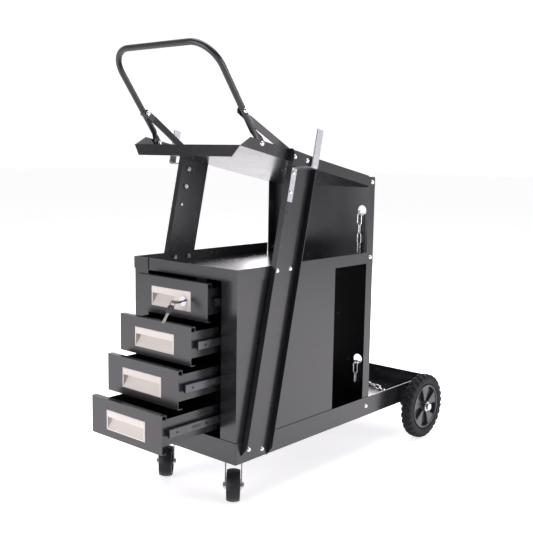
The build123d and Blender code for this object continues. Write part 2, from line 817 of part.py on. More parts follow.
# ---- lock of the top drawer: barrel, turning plug with its cam, catch under the middle tray
lock_face_x = drawer_face_x(0) - pull_bezel
lock_z = pull_centres[0]
lock_front_x = lock_face_x - lock_flange_thickness
barrel_end_x = lock_face_x + lock_barrel_length
lock_axis_plane = Plane(origin=(lock_front_x, -lock_offset, lock_z), x_dir=(0, 1, 0), z_dir=(1, 0, 0))
with BuildPart() as lock_barrel:
    with BuildSketch(lock_axis_plane):
        Circle(lock_flange_radius)
    extrude(amount=lock_flange_thickness)
    with BuildSketch(lock_axis_plane):
        Circle(lock_barrel_radius)
    extrude(amount=lock_flange_thickness + lock_barrel_length)
    with BuildSketch(lock_axis_plane):
        Circle(lock_plug_radius + lock_running_gap)
    extrude(amount=lock_flange_thickness + lock_barrel_length, mode=Mode.SUBTRACT)
finish(lock_barrel, "lock_barrel")

plug_length = lock_flange_thickness + lock_barrel_length + lock_cam_gap
key_slit = seat_gap / 2
with BuildPart() as lock_plug:
    with BuildSketch(lock_axis_plane):
        Circle(lock_plug_radius)
    extrude(amount=plug_length)
    with BuildSketch(lock_axis_plane):
        Rectangle(key_blade_width + 2 * key_slit, key_blade_thickness + 2 * key_slit)
    extrude(amount=key_seat_depth + key_slit, mode=Mode.SUBTRACT)
finish(lock_plug, "lock_plug")

with BuildPart() as lock_cam:
    cam_span = lock_cam_reach - lock_cam_width / 2
    with BuildSketch(lock_axis_plane.offset(plug_length)):
        with Locations((-cam_span / 2, 0)):
            SlotCenterToCenter(cam_span, lock_cam_width)
    extrude(amount=lock_cam_thickness)
finish(lock_cam, "lock_cam")

with BuildPart() as lock_catch:
    catch_x = cabinet_x + drawer_hem_depth + 2.0
    catch_low = middle_tray_underside - lock_catch_drop
    left = -lock_offset - lock_catch_width / 2
    right = -lock_offset + lock_catch_width / 2
    box_between((catch_x, left, catch_low), (catch_x + sheet, right, middle_tray_underside))
    box_between(
        (catch_x, left, middle_tray_underside - sheet), (catch_x + lock_catch_depth, right, middle_tray_underside)
    )
finish(lock_catch, "lock_catch")


def key_outline(head_plane):
    """A key in its own plane: the head from 0 up, its ring slot at the far end, the blade below."""
    with BuildSketch(head_plane) as head:
        with Locations((0, key_head_length / 2)):
            RectangleRounded(key_head_width, key_head_length, key_head_width * 0.32)
        with Locations((0, key_head_length - key_end_wall - key_slot_length / 2)):
            SlotOverall(key_slot_length, key_slot_width, rotation=90, mode=Mode.SUBTRACT)
    extrude(head.sketch, amount=key_head_thickness / 2, both=True)
    with BuildSketch(head_plane) as blade:
        with Locations((0, -(key_blade_length + key_neck) / 2)):
            Rectangle(key_blade_width, key_blade_length + key_neck)
    extrude(blade.sketch, amount=key_blade_thickness / 2, both=True)


# the key in the lock lies flat; its blade reaches into the plug
key_head_x = lock_front_x - (key_blade_length + key_neck - key_seat_depth)
key_plane = Plane(origin=(key_head_x, -lock_offset, lock_z), x_dir=(0, 1, 0), z_dir=(0, 0, 1))
with BuildPart() as lock_key:
    key_outline(key_plane)
finish(lock_key, "lock_key")

# the ring hangs from the key's end wall and leans outward with the spare key
ring_inner = key_ring_radius - key_ring_wire
ring_seat = seat_gap
wall_middle_x = key_head_x - key_head_length + key_end_wall / 2
ring_hang = ring_inner - key_end_wall / 2 - ring_seat
ring_pivot = (wall_middle_x, -lock_offset, lock_z + key_head_thickness / 2)
spare_lean = radians(spare_key_lean)
hang_plane = Plane(
    origin=ring_pivot, x_dir=(cos(spare_lean), 0, -sin(spare_lean)), z_dir=(0, -1, 0)
)
with BuildPart() as key_ring:
    ring_centre = hang_plane.from_local_coords((0, -ring_hang, 0))
    wire_plane = Plane(origin=ring_centre, x_dir=hang_plane.x_dir, z_dir=hang_plane.y_dir)
    with BuildSketch(wire_plane) as ring_wire:
        with Locations((key_ring_radius, 0)):
            Circle(key_ring_wire)
    revolve(ring_wire.sketch, axis=Axis(ring_centre, hang_plane.z_dir))
finish(key_ring, "key_ring")

spare_top = -ring_hang - key_ring_radius + key_ring_wire + ring_seat + key_end_wall
spare_plane = Plane(
    origin=hang_plane.from_local_coords((0, spare_top - key_head_length, 0)),
    x_dir=(0, 1, 0), z_dir=hang_plane.x_dir,
)
with BuildPart() as spare_key:
    key_outline(spare_plane)
finish(spare_key, "spare_key")

# ---- rear axle, its brackets and what holds the wheels on it
wheel_y = half_width + wheel_gap + hub_length / 2
axle_z = rear_wheel_radius
with BuildPart() as axle_brackets:
    for side in (-1, 1):
        with BuildSketch(Plane.XZ.offset(-side * axle_bracket_half_width)) as cheek:
            with BuildLine():
                Polyline(
                    (axle_x - 12.0, axle_z - 4.0), (axle_x - axle_bracket_length / 2, base_underside),
                    (axle_x + axle_bracket_length / 2, base_underside), (axle_x + 12.0, axle_z - 4.0),
                )
                ThreePointArc(
                    (axle_x + 12.0, axle_z - 4.0), (axle_x, axle_z - 14.0), (axle_x - 12.0, axle_z - 4.0)
                )
            make_face()
            with Locations((axle_x, axle_z)):
                Circle(axle_radius + axle_fit, mode=Mode.SUBTRACT)
        extrude(cheek.sketch, amount=axle_bracket_sheet / 2, both=True)
    mirrored_box(
        (axle_x - axle_bracket_length / 2, axle_bracket_half_width - 28.0, base_underside - axle_bracket_sheet),
        (axle_x + axle_bracket_length / 2, axle_bracket_half_width, base_underside),
    )
finish(axle_brackets, "axle_brackets")

hub_outer_y = wheel_y + hub_length / 2
washer_y = hub_outer_y + wheel_side_gap
axle_end_y = washer_y + washer_thickness + axle_cap_length - axle_cap_wall
axle_axis_plane = Plane(origin=(axle_x, 0, axle_z), x_dir=(1, 0, 0), z_dir=(0, 1, 0))
with BuildPart() as rear_axle:
    with BuildSketch(axle_axis_plane):
        Circle(axle_radius)
    extrude(amount=axle_end_y - seat_gap, both=True)
finish(rear_axle, "rear_axle")


def ring_between(start, end, outer, inner):
    """A ring round the rear axle on both sides of the cart, between two distances from its middle."""
    for side in (-1, 1):
        with BuildSketch(axle_axis_plane.offset(side * start)) as ring:
            Circle(outer)
            Circle(inner, mode=Mode.SUBTRACT)
        extrude(ring.sketch, amount=side * (end - start))


def disc_between(start, end, outer):
    """A disc on the rear axle's line on both sides of the cart."""
    for side in (-1, 1):
        with BuildSketch(axle_axis_plane.offset(side * start)) as disc:
            Circle(outer)
        extrude(disc.sketch, amount=side * (end - start))


with BuildPart() as axle_spacers:
    spacer_start = axle_bracket_half_width + axle_bracket_sheet / 2
    spacer_end = wheel_y - hub_length / 2 - wheel_side_gap
    ring_between(spacer_start, spacer_end, spacer_radius, axle_radius + axle_fit)
finish(axle_spacers, "axle_spacers")

with BuildPart() as axle_washers:
    ring_between(washer_y, washer_y + washer_thickness, washer_radius, axle_radius + axle_fit)
finish(axle_washers, "axle_washers")

with BuildPart() as axle_caps:
    cap_start = washer_y + washer_thickness
    cap_end = cap_start + axle_cap_length
    ring_between(cap_start, cap_end - axle_cap_wall, axle_cap_radius, axle_radius + axle_fit)
    disc_between(cap_end - axle_cap_wall, cap_end, axle_cap_radius)
finish(axle_caps, "axle_caps")


def make_tyre(side):
    """A solid tyre: rounded shoulders, seated on the rim."""
    shoulder = rear_wheel_radius - tyre_shoulder
    bead = rim_radius
    half = tyre_width / 2
    with BuildPart() as tyre:
        with BuildSketch(Plane(origin=(axle_x, side * wheel_y, axle_z), x_dir=(1, 0, 0), z_dir=(0, 0, 1))):
            with BuildLine():
                Polyline((bead, -rim_width / 2), (bead, rim_width / 2))
                Spline((bead, rim_width / 2), ((bead + shoulder) / 2, half), (shoulder, half - 1.0))
                ThreePointArc((shoulder, half - 1.0), (rear_wheel_radius, 0), (shoulder, -half + 1.0))
                Spline((bead, -rim_width / 2), ((bead + shoulder) / 2, -half), (shoulder, -half + 1.0))
            make_face()
        revolve(axis=Axis((axle_x, side * wheel_y, axle_z), (0, 1, 0)))
    return tyre


def make_rim(side):
    """A spoked wheel centre: barrel, hub and straight spokes."""
    middle = axle_axis_plane.offset(side * wheel_y)
    with BuildPart() as rim:
        with BuildSketch(middle):
            Circle(rim_radius)
            Circle(rim_radius - rim_thickness, mode=Mode.SUBTRACT)
        extrude(amount=rim_width / 2, both=True)
        with BuildSketch(middle):
            with PolarLocations(0, spoke_count, start_angle=90 - spoke_turn):
                with Locations(((rim_radius - rim_thickness / 2) / 2, 0)):
                    Rectangle(rim_radius - rim_thickness / 2, spoke_width)
        extrude(amount=spoke_thickness / 2, both=True)
        with BuildSketch(middle):
            Circle(hub_radius)
        extrude(amount=hub_length / 2, both=True)
        with BuildSketch(middle):
            Circle(axle_radius + axle_fit)
        extrude(amount=hub_length, both=True, mode=Mode.SUBTRACT)
    return rim


for side, word in ((-1, "right"), (1, "left")):
    finish(make_tyre(side), f"rear_tyre_{word}")
    finish(make_rim(side), f"rear_rim_{word}")

# ---- swivel casters under the front corners
caster_plate_low = base_underside - caster_plate_thickness
race_low = caster_plate_low - caster_race_height
fork_top = race_low - caster_running_gap
fork_crown_low = fork_top - caster_fork_sheet
leg_inside = caster_fork_inside / 2
leg_outside = leg_inside + caster_fork_sheet


def caster_plane(side, height):
    """A level plane on the swivel axis, its X axis along the caster's heading."""
    heading = radians(caster_heading)
    return Plane(
        origin=(front_x + caster_setback, side * caster_half_track, height),
        x_dir=(cos(heading), sin(heading), 0), z_dir=(0, 0, 1),
    )


with BuildPart() as caster_plates:
    for side in (-1, 1):
        x = front_x + caster_setback
        y = side * caster_half_track
        with BuildSketch(Plane(origin=(x, y, caster_plate_low))) as plate:
            RectangleRounded(caster_plate_length, caster_plate_width, 6.0)
            with GridLocations(caster_bolt_spacing_x, caster_bolt_spacing_y, 2, 2):
                Circle(bolt_hole_radius, mode=Mode.SUBTRACT)
        extrude(plate.sketch, amount=caster_plate_thickness)
        with BuildSketch(Plane(origin=(x, y, caster_plate_low))) as race:
            Circle(caster_race_radius)
        extrude(race.sketch, amount=-caster_race_height, taper=8)
        pin_low = fork_crown_low - caster_running_gap
        with BuildSketch(Plane(origin=(x, y, pin_low))) as pin:
            Circle(caster_kingpin_radius)
        extrude(pin.sketch, amount=race_low - pin_low)
        with BuildSketch(Plane(origin=(x, y, pin_low))) as pin_head:
            Circle(caster_kingpin_head)
        extrude(pin_head.sketch, amount=-caster_kingpin_head_height)
finish(caster_plates, "caster_plates")

with BuildPart() as caster_bolts:
    caster_grip = caster_plate_thickness + sheet
    for side in (-1, 1):
        for step_x in (-1, 1):
            for step_y in (-1, 1):
                bolt_x = front_x + caster_setback + step_x * caster_bolt_spacing_x / 2
                bolt_y = side * caster_half_track + step_y * caster_bolt_spacing_y / 2
                add_bolt((bolt_x, bolt_y, base_floor), (0, 0, 1), caster_grip)
finish(caster_bolts, "caster_bolts")


def make_caster_fork(side):
    """A caster fork with its crown and two legs, and the wheel's bolt through them."""
    wheel_plane = caster_plane(side, caster_wheel_radius)
    with BuildPart() as fork:
        with BuildSketch(caster_plane(side, fork_top)) as crown:
            Circle(caster_race_radius + 1.0)
            with Locations((caster_race_radius / 2 + 2.0, 0)):
                Rectangle(caster_race_radius + 4.0, 2 * leg_outside)
            Circle(caster_kingpin_radius + caster_pin_fit, mode=Mode.SUBTRACT)
        extrude(crown.sketch, amount=-caster_fork_sheet)
        for cheek in (-1, 1):
            leg_plane = Plane(
                origin=wheel_plane.from_local_coords((0, cheek * leg_inside, 0)),
                x_dir=wheel_plane.x_dir, z_dir=wheel_plane.y_dir * cheek,
            )
            up = -cheek
            crown_height = (fork_crown_low - caster_wheel_radius) * up
            with BuildSketch(leg_plane) as leg:
                with BuildLine():
                    Polyline(
                        (caster_trail - caster_leg_width / 3, 0), (-caster_leg_width / 3, crown_height),
                        (caster_race_radius + 4.0, crown_height), (caster_trail + caster_leg_width / 3, 0),
                    )
                    ThreePointArc(
                        (caster_trail + caster_leg_width / 3, 0),
                        (caster_trail, -up * caster_leg_width / 3),
                        (caster_trail - caster_leg_width / 3, 0),
                    )
                make_face()
                with Locations((caster_trail, 0)):
                    Circle(caster_axle_radius + caster_pin_fit, mode=Mode.SUBTRACT)
            extrude(leg.sketch, amount=caster_fork_sheet)
    axle_plane = Plane(
        origin=wheel_plane.from_local_coords((caster_trail, 0, 0)),
        x_dir=wheel_plane.x_dir, z_dir=wheel_plane.y_dir,
    )
    with BuildPart() as axle:
        with BuildSketch(axle_plane) as shaft:
            Circle(caster_axle_radius)
        extrude(shaft.sketch, amount=leg_outside + 1.0, both=True)
        for cheek in (-1, 1):
            with BuildSketch(axle_plane.offset(cheek * (leg_outside + seat_gap))) as cap:
                RegularPolygon(caster_axle_head, 6)
            extrude(cap.sketch, amount=cheek * caster_axle_head_height)
    with fork:
        add(axle.part)
    return fork


def make_caster_wheel(side):
    """A caster wheel: rounded tread, recessed sides and a hub."""
    centre_plane = caster_plane(side, caster_wheel_radius)
    centre = centre_plane.from_local_coords((caster_trail, 0, 0))
    half = caster_wheel_width / 2
    side_x = caster_wheel_radius - 3.0
    floor = half - caster_groove
    tread, hub = caster_tread_radius, caster_hub_radius
    with BuildPart() as wheel:
        with BuildSketch(Plane(origin=centre, x_dir=centre_plane.x_dir, z_dir=(0, 0, 1))):
            with BuildLine():
                bore = caster_axle_radius + caster_pin_fit
                Polyline(
                    (side_x, -half), (tread, -half), (tread, -floor), (hub, -floor), (hub, -half - 1.0),
                    (bore, -half - 1.0), (bore, half + 1.0),
                    (hub, half + 1.0), (hub, floor), (tread, floor), (tread, half), (side_x, half),
                )
                ThreePointArc((side_x, half), (caster_wheel_radius, 0), (side_x, -half))
            make_face()
        revolve(axis=Axis(centre, centre_plane.y_dir))
    return wheel


for side, word in ((-1, "right"), (1, "left")):
    finish(make_caster_fork(side), f"caster_fork_{word}")
    finish(make_caster_wheel(side), f"caster_wheel_{word}")

# ---- chains: closed links, one solid each
link_bend = (chain_link_width - chain_wire) / 2
link_straight = chain_pitch + chain_wire - 2 * link_bend
link_spacing = chain_pitch - chain_slack
with BuildPart() as chain_link:
    with BuildLine(Plane.XY) as link_line:
        Polyline((-link_straight / 2, link_bend), (link_straight / 2, link_bend))
        ThreePointArc(
            (link_straight / 2, link_bend), (link_straight / 2 + link_bend, 0), (link_straight / 2, -link_bend)
        )
        Polyline((link_straight / 2, -link_bend), (-link_straight / 2, -link_bend))
        ThreePointArc(
            (-link_straight / 2, -link_bend), (-link_straight / 2 - link_bend, 0), (-link_straight / 2, link_bend)
        )
    with BuildSketch(Plane(origin=(0, link_bend, 0), x_dir=(0, 1, 0), z_dir=(1, 0, 0))) as link_section:
        Circle(chain_wire / 2)
    sweep(link_section.sketch, path=link_line.wires()[0])


def solve(measure, target, low, high):
    """The value between low and high at which a rising measure reaches the target."""
    for _ in range(50):
        middle = (low + high) / 2
        if measure(middle) < target:
            low = middle
        else:
            high = middle
    return (low + high) / 2


def link_direction(heading, pitch):
    """Unit direction of a run; heading from +X towards +Y and pitch downwards, both in degrees."""
    level = cos(radians(pitch))
    return Vector(level * cos(radians(heading)), level * sin(radians(heading)), -sin(radians(pitch)))


def walk_links(hang_point, steps):
    """Where each link lies; every step is a heading, a pitch and a turn about the run."""
    joint = Vector(*hang_point) - link_direction(*steps[0][:2]) * ((chain_wire + chain_slack) / 2)
    places = []
    for heading, pitch, turn in steps:
        run = link_direction(heading, pitch)
        level = Vector(-sin(radians(heading)), cos(radians(heading)), 0)
        normal = run.cross(level) * cos(radians(turn)) + level * sin(radians(turn))
        places.append(Plane(origin=joint + run * (link_spacing / 2), x_dir=run, z_dir=normal).location)
        joint = joint + run * link_spacing
    return places


def hole_link(height, toward):
    """The link through a panel hole and the place on its wire where the next one hangs."""
    middle_x = (panel_x + panel_rear_x) / 2
    link_z = height - chain_hole_radius + chain_hole_gap + chain_link_width / 2
    hang_x = middle_x + toward * (link_straight / 2 + chain_hang_inset)
    hang_z = link_z - sqrt(link_bend**2 - chain_hang_inset**2)
    place = Plane(origin=(middle_x, -chain_hole_offset, link_z), x_dir=(1, 0, 0), z_dir=(0, -1, 0)).location
    return place, (hang_x, -chain_hole_offset, hang_z)


def tail_steps(count):
    """A free end that hangs straight down and twists a little from link to link."""
    return [(0, 90, tail_first_turn + i * tail_twist) for i in range(count)]


def make_chain(height, tail_links, loop_steps):
    """A chain from one hole to the other: a loop behind the panel and a free end before each hole."""
    through, front_hang = hole_link(height, -1)
    rear_hang = hole_link(height, 1)[1]
    loop = walk_links(rear_hang, loop_steps)
    with BuildPart() as chain:
        with Locations(through, *walk_links(front_hang, tail_steps(tail_links)), *loop[:-1]):
            add(chain_link.part)
        mirror(about=Plane.XZ)
        with Locations(loop[-1]):
            add(chain_link.part)
    return chain


def share(i, count):
    """How far along a run of links the middle of link i is, from 0 to 1."""
    return (i + 0.5) / count


# the upper chain swings from hole to hole in one arc; its middle link is the lowest
upper_half_links = (upper_chain_links - 1) // 2


def upper_pitch(steepest, i):
    return steepest * (1 - 2 * share(i, upper_chain_links))


def upper_span(steepest):
    lengths = sum(link_spacing * cos(radians(upper_pitch(steepest, i))) for i in range(upper_chain_links))
    return lengths - (chain_wire + chain_slack) * cos(radians(upper_pitch(steepest, 0)))


upper_steepest = 180 - solve(lambda rise: upper_span(180 - rise), 2 * chain_hole_offset, 60, 178)
upper_steps = [(90, upper_pitch(upper_steepest, i), 90 * ((i + 1) % 2)) for i in range(upper_half_links + 1)]
finish(make_chain(upper_chain_height, upper_tail_links, upper_steps), "chain_upper")

# the lower chain drops to the platform and lies there in a loop
lying_height = base_floor + chain_wire / 2 + link_bend * sin(pi / 4) + seat_gap
lower_drop = hole_link(lower_chain_height, 1)[1][2] + (chain_wire + chain_slack) / 2 - lying_height
hang_links = ceil(lower_drop / (0.85 * link_spacing))


def hang_pitch(power, i):
    return 90 * (1 - share(i, hang_links) ** power)


def loop_heading(power, i):
    return 90 * ((i + 1) / (lower_loop_links + 1)) ** power


hang_power = solve(
    lambda power: sum(link_spacing * sin(radians(hang_pitch(power, i))) for i in range(hang_links)),
    lower_drop, 0.5, 12,
)
loop_power = 1 / solve(
    lambda root: sum(link_spacing * sin(radians(loop_heading(1 / root, i))) for i in range(lower_loop_links)),
    chain_hole_offset - link_spacing / 2, 0.1, 2,
)
lower_steps = [
    (0, hang_pitch(hang_power, i), 90 * (i % 2) - 45 * share(i, hang_links)) for i in range(hang_links)
]
lower_steps += [
    (loop_heading(loop_power, i), 0, 45 - 90 * ((hang_links + i + 1) % 2)) for i in range(lower_loop_links + 1)
]
finish(make_chain(lower_chain_height, lower_tail_links, lower_steps), "chain_lower")
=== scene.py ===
"""Looks of a welding cart: powder-coated sheet steel, zinc fittings, moulded pulls, block-tread tyres."""

import json
import logging
import math
from dataclasses import dataclass, field
from enum import Enum
from typing import Any, Mapping, Sequence

import bpy
import numpy as np
from mathutils import Matrix, Vector

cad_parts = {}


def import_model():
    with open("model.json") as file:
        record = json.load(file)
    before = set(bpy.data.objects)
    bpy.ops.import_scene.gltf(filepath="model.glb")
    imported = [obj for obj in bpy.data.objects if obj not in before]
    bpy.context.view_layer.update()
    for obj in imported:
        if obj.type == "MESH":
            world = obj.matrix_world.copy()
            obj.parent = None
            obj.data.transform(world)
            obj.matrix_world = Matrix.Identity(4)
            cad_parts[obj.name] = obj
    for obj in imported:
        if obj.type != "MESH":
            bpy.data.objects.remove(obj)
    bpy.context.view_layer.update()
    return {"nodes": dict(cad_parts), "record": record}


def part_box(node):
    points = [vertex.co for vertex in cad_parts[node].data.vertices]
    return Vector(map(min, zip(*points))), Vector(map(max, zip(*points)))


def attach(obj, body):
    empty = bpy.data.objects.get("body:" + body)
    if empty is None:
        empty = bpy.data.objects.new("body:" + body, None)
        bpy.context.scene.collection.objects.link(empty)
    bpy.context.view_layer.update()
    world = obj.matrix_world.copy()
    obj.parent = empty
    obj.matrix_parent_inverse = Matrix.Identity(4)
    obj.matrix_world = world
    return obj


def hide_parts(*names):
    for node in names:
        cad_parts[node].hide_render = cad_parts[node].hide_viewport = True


LOG = logging.getLogger("welding_cart")
MM = 0.001


class Operation(Enum):
    """The Math node operations that the socket arithmetic uses."""

    ADD = "ADD"
    SUBTRACT = "SUBTRACT"
    MULTIPLY = "MULTIPLY"
    DIVIDE = "DIVIDE"
    GREATER = "GREATER_THAN"


class Value:
    """A number on a shader socket; its operators add Math nodes."""

    def __init__(self, sheet: "NodeSheet", socket: bpy.types.NodeSocket) -> None:
        """Wraps an output socket of a node sheet."""
        self.sheet = sheet
        self.socket = socket

    def _math(self, operation: Operation, left: Any, right: Any) -> "Value":
        """Adds a Math node with two operands, each a Value or a number."""
        node = self.sheet.node("ShaderNodeMath", {"operation": operation.value}, {0: left, 1: right})
        return Value(self.sheet, node.outputs[0])

    def __add__(self, other: Any) -> "Value":
        """self + other."""
        return self._math(Operation.ADD, self, other)

    def __radd__(self, other: Any) -> "Value":
        """other + self."""
        return self._math(Operation.ADD, other, self)

    def __sub__(self, other: Any) -> "Value":
        """self - other."""
        return self._math(Operation.SUBTRACT, self, other)

    def __rsub__(self, other: Any) -> "Value":
        """other - self."""
        return self._math(Operation.SUBTRACT, other, self)

    def __mul__(self, other: Any) -> "Value":
        """self * other."""
        return self._math(Operation.MULTIPLY, self, other)

    def __rmul__(self, other: Any) -> "Value":
        """other * self."""
        return self._math(Operation.MULTIPLY, other, self)

    def __truediv__(self, other: Any) -> "Value":
        """self / other."""
        return self._math(Operation.DIVIDE, self, other)

    def above(self, level: float) -> "Value":
        """1 where the value is above a level, 0 elsewhere."""
        return self._math(Operation.GREATER, self, level)

    def ramp(self, low: float, high: float) -> "Value":
        """0 below low, 1 above high, and a smooth rise between."""
        node = self.sheet.node(
            "ShaderNodeMapRange", {"interpolation_type": "SMOOTHSTEP"}, {0: self, 1: low, 2: high}
        )
        return Value(self.sheet, node.outputs[0])


class NodeSheet:
    """The node tree of one material, with its principled shader."""

    def __init__(self, name: str) -> None:
        """Makes an empty material with one principled shader.

        Args:
            name: the material's name.
        """
        self.material = bpy.data.materials.new(name)
        self.material.use_nodes = True
        self.tree = self.material.node_tree
        self.tree.nodes.clear()
        self.shader = self.tree.nodes.new("ShaderNodeBsdfPrincipled")
        output = self.tree.nodes.new("ShaderNodeOutputMaterial")
        self.tree.links.new(self.shader.outputs[0], output.inputs[0])
        self.place = self.node("ShaderNodeTexCoord").outputs["Object"]

    def put(self, socket: bpy.types.NodeSocket, value: Any) -> None:
        """Sets a socket to a number or colour, or links a socket to it."""
        if isinstance(value, Value):
            value = value.socket
        if isinstance(value, bpy.types.NodeSocket):
            self.tree.links.new(value, socket)
        else:
            socket.default_value = value

    def node(
        self,
        kind: str,
        settings: Mapping[str, Any] | None = None,
        inputs: Mapping[int | str, Any] | None = None,
    ) -> bpy.types.Node:
        """Adds a node.

        Args:
            kind: the node's type.
            settings: its properties, set first.
            inputs: values or links of its sockets by name or place.

        Returns:
            The new node.
        """
        node = self.tree.nodes.new(kind)
        for key, value in (settings or {}).items():
            setattr(node, key, value)
        for key, value in (inputs or {}).items():
            self.put(node.inputs[key], value)
        return node

    def set(self, **values: Any) -> None:
        """Sets or links the shader's sockets; underscores in names stand for spaces."""
        for key, value in values.items():
            self.put(self.shader.inputs[key.replace("_", " ")], value)

    def noise(self, scale: float, detail: float = 2.0, stretch: Sequence[float] = (1, 1, 1)) -> Value:
        """Noise over object coordinates.

        Args:
            scale: cells a metre.
            detail: octaves.
            stretch: scale along each axis.

        Returns:
            The noise, about 0.5 on average.
        """
        moved = self.node("ShaderNodeMapping", {}, {"Vector": self.place, "Scale": tuple(stretch)})
        node = self.node(
            "ShaderNodeTexNoise", {}, {"Vector": moved.outputs[0], "Scale": scale, "Detail": detail}
        )
        return Value(self, node.outputs[0])

    def axis(self, name: str) -> Value:
        """One object coordinate, X, Y or Z, in metres."""
        split = self.node("ShaderNodeSeparateXYZ", {}, {0: self.place})
        return Value(self, split.outputs[name])

    def mix(self, factor: Value, low: Sequence[float], high: Sequence[float]) -> bpy.types.NodeSocket:
        """A colour between two colours, by a factor."""
        node = self.node(
            "ShaderNodeMix", {"data_type": "RGBA"}, {0: factor, 6: (*low, 1.0), 7: (*high, 1.0)}
        )
        return node.outputs[2]

    def bump(self, height: Value, distance: float) -> bpy.types.NodeSocket:
        """A normal from a height between 0 and 1, where 1 stands for a distance in metres."""
        return self.node("ShaderNodeBump", {}, {"Height": height, "Distance": distance}).outputs[0]


def shade(colour: Sequence[float], factor: float) -> tuple[float, ...]:
    """A colour made lighter or darker by a factor."""
    return tuple(min(c * factor, 1.0) for c in colour)


@dataclass(frozen=True)
class PowderCoat:
    """Semi-gloss powder coat: fine orange peel, faint cloudiness and dust that dulls it."""

    name: str
    colour: tuple[float, float, float]
    roughness: float = 0.24
    gloss: float = 1.6
    peel: float = 0.000006

    def material(self) -> bpy.types.Material:
        """Builds the coat's material."""
        sheet = NodeSheet(self.name)
        cloud = sheet.noise(7.0, 3.0)
        grain = sheet.noise(450.0, 1.0)
        dust = sheet.noise(60.0, 4.0).ramp(0.52, 0.8)
        sheet.set(
            Base_Color=sheet.mix(cloud * 0.6 + dust * 0.4, shade(self.colour, 0.88), shade(self.colour, 1.3)),
            Roughness=self.roughness + (cloud - 0.5) * 0.08 + dust * 0.05,
            IOR=self.gloss,
            Normal=sheet.bump(grain, self.peel),
        )
        return sheet.material


@dataclass(frozen=True)
class PlatedSteel:
    """Zinc, nickel or chrome plate: metal with a faint grain and handling marks."""

    name: str
    colour: tuple[float, float, float]
    roughness: float = 0.3
    grain: float = 0.12
    stretch: tuple[float, float, float] = (1.0, 1.0, 1.0)

    def material(self) -> bpy.types.Material:
        """Builds the plate's material."""
        sheet = NodeSheet(self.name)
        fine = sheet.noise(700.0, 2.0, self.stretch)
        marks = sheet.noise(90.0, 4.0).ramp(0.45, 0.75)
        sheet.set(
            Metallic=1.0,
            Base_Color=sheet.mix(marks * 0.7 + fine * 0.3, self.colour, shade(self.colour, 0.82)),
            Roughness=self.roughness + (fine - 0.5) * self.grain + marks * 0.06,
            Normal=sheet.bump(fine, 0.00001),
        )
        return sheet.material


@dataclass(frozen=True)
class MouldedPlastic:
    """Moulded plastic with a fine spark-eroded texture and soft flow clouds."""

    name: str
    colour: tuple[float, float, float]
    roughness: float = 0.42
    texture: float = 0.00003

    def material(self) -> bpy.types.Material:
        """Builds the plastic's material."""
        sheet = NodeSheet(self.name)
        fine = sheet.noise(1600.0, 2.0)
        flow = sheet.noise(35.0, 3.0, (1.0, 0.5, 1.6))
        sheet.set(
            Base_Color=sheet.mix(flow, shade(self.colour, 0.94), shade(self.colour, 1.05)),
            Roughness=self.roughness + (fine - 0.5) * 0.12,
            Normal=sheet.bump(fine, self.texture),
        )
        return sheet.material


@dataclass(frozen=True)
class Rubber:
    """Black rubber: matt, with a mould grain and greyer scuffs."""

    name: str
    colour: tuple[float, float, float]
    roughness: float = 0.62
    gloss: float = 1.3

    def material(self) -> bpy.types.Material:
        """Builds the rubber's material."""
        sheet = NodeSheet(self.name)
        fine = sheet.noise(520.0, 3.0)
        scuff = sheet.noise(55.0, 5.0).ramp(0.48, 0.78)
        sheet.set(
            Base_Color=sheet.mix(scuff, self.colour, shade(self.colour, 1.9)),
            Roughness=self.roughness + scuff * 0.15 + (fine - 0.5) * 0.1,
            IOR=self.gloss,
            Normal=sheet.bump(fine, 0.00012),
        )
        return sheet.material


@dataclass(frozen=True)
class KeyMetal:
    """A key: a black coated head over a bright blade, split at a height."""

    name: str
    split: float
    head: tuple[float, float, float] = (0.03, 0.03, 0.035)
    blade: tuple[float, float, float] = (0.7, 0.69, 0.66)

    def material(self) -> bpy.types.Material:
        """Builds the key's material; metal shows below the split height."""
        sheet = NodeSheet(self.name)
        coat = sheet.axis("Z").above(self.split)
        fine = sheet.noise(800.0, 2.0)
        sheet.set(
            Base_Color=sheet.mix(coat, self.blade, self.head),
            Metallic=1.0 - coat,
            Roughness=0.28 + coat * 0.15 + (fine - 0.5) * 0.1,
            Normal=sheet.bump(fine, 0.00001),
        )
        return sheet.material


def closed_grid(rows: int, columns: int, wrap_rows: bool) -> np.ndarray:
    """The quads of a grid whose columns wrap round, and whose rows do too when asked.

    Args:
        rows: points along the first parameter.
        columns: points along the second parameter.
        wrap_rows: whether the last row joins the first.

    Returns:
        An array of vertex numbers, four a quad.
    """
    row = np.arange(rows if wrap_rows else rows - 1)[:, None]
    column = np.arange(columns)[None, :]
    after_row = (row + 1) % rows
    after_column = (column + 1) % columns
    quads = np.stack(
        [row * columns + column, row * columns + after_column,
         after_row * columns + after_column, after_row * columns + column], axis=-1
    )
    return quads.reshape(-1, 4)


def smoothstep(value: np.ndarray, low: float, high: float) -> np.ndarray:
    """0 below low, 1 above high, and 3t^2 - 2t^3 between."""
    t = np.clip((value - low) / (high - low), 0.0, 1.0)
    return t * t * (3.0 - 2.0 * t)


def make_piece(name: str, points: np.ndarray, quads: np.ndarray, material: bpy.types.Material,
               smooth_angle: float = 40.0) -> bpy.types.Object:
    """Makes a mesh object at the origin from arrays.

    Args:
        name: the object's name.
        points: vertex places in metres.
        quads: vertex numbers, four a face.
        material: its finish.
        smooth_angle: edges sharper than this many degrees stay sharp.

    Returns:
        The new object.
    """
    mesh = bpy.data.meshes.new(name)
    mesh.from_pydata(points.reshape(-1, 3).tolist(), [], quads.tolist())
    mesh.materials.append(material)
    mesh.update()
    piece = bpy.data.objects.new(name, mesh)
    bpy.context.scene.collection.objects.link(piece)
    bpy.context.view_layer.objects.active = piece
    mesh.shade_smooth()
    mesh.set_sharp_from_angle(angle=math.radians(smooth_angle))
    return piece


